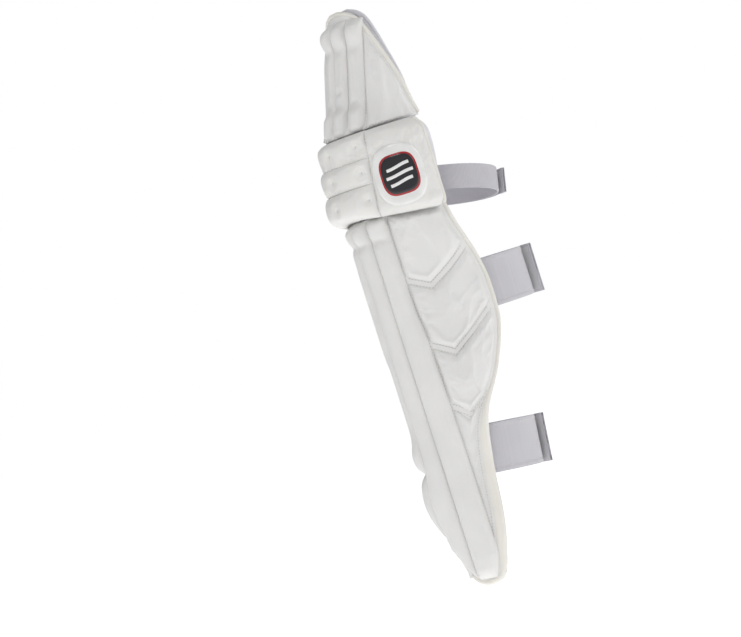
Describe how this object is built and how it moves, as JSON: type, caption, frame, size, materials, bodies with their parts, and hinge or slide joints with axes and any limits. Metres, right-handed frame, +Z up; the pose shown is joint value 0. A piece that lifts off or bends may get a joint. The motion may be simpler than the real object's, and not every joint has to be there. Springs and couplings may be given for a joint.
{
  "type": "cricket leg pad",
  "caption": "Left-leg cricket pad: three shin canes, quilted wings, knee rolls, folding top hat and hook-and-loop straps that close round the leg.",
  "frame": {"origin": "on the axis of the leg channel, level with the lowest point of the toe", "axes": "+Z up along the shin, -Y to the front where the canes are, +X to the outer wing of a left-leg pad; the leg channel opens to +Y"},
  "size_m": [0.1806, 0.2327, 0.7218],
  "materials": {
    "pu_face": "white pebbled PU with a soft sheen",
    "pu_roll": "white pebbled PU with a soft sheen",
    "pu_piping": "smooth cream PU",
    "liner": "off-white brushed textile",
    "foam": "closed-cell foam",
    "cane": "split cane",
    "webbing": "white woven strap",
    "elastic": "white knitted elastic",
    "hook": "moulded hook tape",
    "loop": "brushed loop tape",
    "ring": "white moulded nylon",
    "badge_patch": "moulded clear-white patch",
    "badge_emblem": "black moulded emblem with a red rim",
    "thread": "sewing thread"
  },
  "bodies": {
    "shin": {"shin_lining": "liner", "shin_core": "foam", "shin_shell": "pu_face", "shin_piping": "pu_piping", "shin_cane_inner": "pu_face", "shin_cane_middle": "pu_face", "shin_cane_outer": "pu_face", "cane_rods": "cane", "outer_wing_panel_top": "pu_face", "outer_wing_panel_middle": "pu_face", "outer_wing_panel_lower": "pu_face", "outer_ankle_panel": "pu_face", "inner_wing_panel_top": "pu_face", "inner_wing_panel_middle": "pu_face", "inner_wing_panel_lower": "pu_face", "inner_ankle_panel": "pu_face", "outer_bolster": "liner", "inner_bolster": "liner", "instep_pad": "liner", "calf_ring": "ring", "calf_strap": "webbing", "calf_ring_tab": "webbing", "calf_loop_patch": "loop", "ankle_ring": "ring", "ankle_strap": "webbing", "ankle_ring_tab": "webbing", "ankle_loop_patch": "loop"},
    "knee": {"knee_cup": "liner", "knee_core": "foam", "knee_roll_bottom": "pu_roll", "knee_roll_middle": "pu_roll", "knee_roll_top": "pu_roll", "knee_tufts": "thread", "knee_wing_outer": "pu_face", "knee_wing_inner": "pu_face", "knee_piping_outer": "pu_piping", "knee_piping_inner": "pu_piping", "badge_patch_outer": "badge_patch", "badge_patch_inner": "badge_patch", "badge_emblem_outer": "badge_emblem", "badge_emblem_inner": "badge_emblem", "knee_ring": "ring", "knee_strap": "elastic", "knee_ring_tab": "elastic", "knee_loop_patch": "loop"},
    "top_hat": {"top_liner": "liner", "top_core": "foam", "top_shell": "pu_face", "top_piping": "pu_piping", "thigh_roll_inner": "pu_face", "thigh_roll_middle": "pu_face", "thigh_roll_outer": "pu_face", "top_wing_outer": "pu_face", "top_wing_inner": "pu_face"},
    "calf_tail": {"calf_strap_tail": "webbing", "calf_hook_patch": "hook"},
    "ankle_tail": {"ankle_strap_tail": "webbing", "ankle_hook_patch": "hook"},
    "knee_tail": {"knee_strap_tail": "elastic", "knee_hook_patch": "hook"}
  },
  "joints": [
    {"name": "knee_flex", "type": "hinge", "parent": "shin", "child": "knee", "pos_m": [0, -0.072, 0.47], "axis": [1, 0, 0], "range_deg": [-12, 6], "stiffness_Nm_per_rad": 12},
    {"name": "top_flex", "type": "hinge", "parent": "knee", "child": "top_hat", "pos_m": [0, -0.072, 0.572], "axis": [1, 0, 0], "range_deg": [-15, 17.5], "stiffness_Nm_per_rad": 6},
    {"name": "knee_tail_peel", "type": "hinge", "parent": "knee", "child": "knee_tail", "pos_m": [-0.06674, 0.0656, 0.48163], "axis": [0, 0.2368, 0.9715], "range_deg": [0, 100]},
    {"name": "calf_tail_peel", "type": "hinge", "parent": "shin", "child": "calf_tail", "pos_m": [-0.06134, 0.07368, 0.352], "axis": [0, 0, 1], "range_deg": [0, 100]},
    {"name": "ankle_tail_peel", "type": "hinge", "parent": "shin", "child": "ankle_tail", "pos_m": [-0.0586, -0.00175, 0.15677], "axis": [0, 0.1219, 0.9925], "range_deg": [0, 100]}
  ]
}
